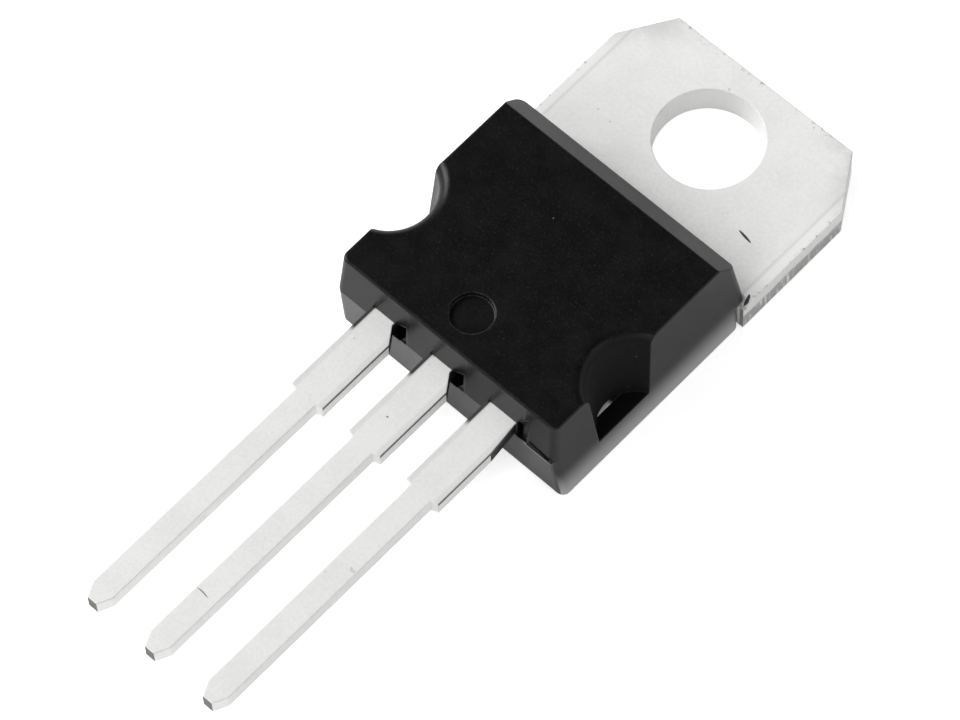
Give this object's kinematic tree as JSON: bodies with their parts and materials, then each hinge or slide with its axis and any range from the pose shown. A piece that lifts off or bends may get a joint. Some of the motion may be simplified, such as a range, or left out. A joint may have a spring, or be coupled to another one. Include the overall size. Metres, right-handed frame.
{
  "type": "three-lead voltage regulator",
  "caption": "Black moulded power regulator on a metal mounting tab with a hole, clamp notches in its sides and flat stepped leads.",
  "frame": {"origin": "centre of the mounting hole on the flat back of the tab", "axes": "+Y from the leads towards the tab's top edge, +X to the right seen from the moulded front, +Z out of the back towards the moulded front"},
  "size_m": [0.0102, 0.0291, 0.0044],
  "materials": {
    "frame_metal": "copper strip with a matte tin plating, pale grey, sheared and clipped edges a little darker",
    "moulding_compound": "black mineral-filled epoxy, fine matte grain",
    "silicon": "smooth dark grey silicon",
    "solder": "dull soft-solder film",
    "wire_metal": "drawn aluminium wire"
  },
  "bodies": {
    "root": {"heat_sink_frame": "frame_metal", "input_lead": "frame_metal", "output_lead": "frame_metal", "moulded_body": "moulding_compound", "regulator_die": "silicon", "die_solder": "solder", "input_wire": "wire_metal", "output_wire": "wire_metal", "sense_wire": "wire_metal", "ground_wire": "wire_metal"}
  },
  "joints": []
}
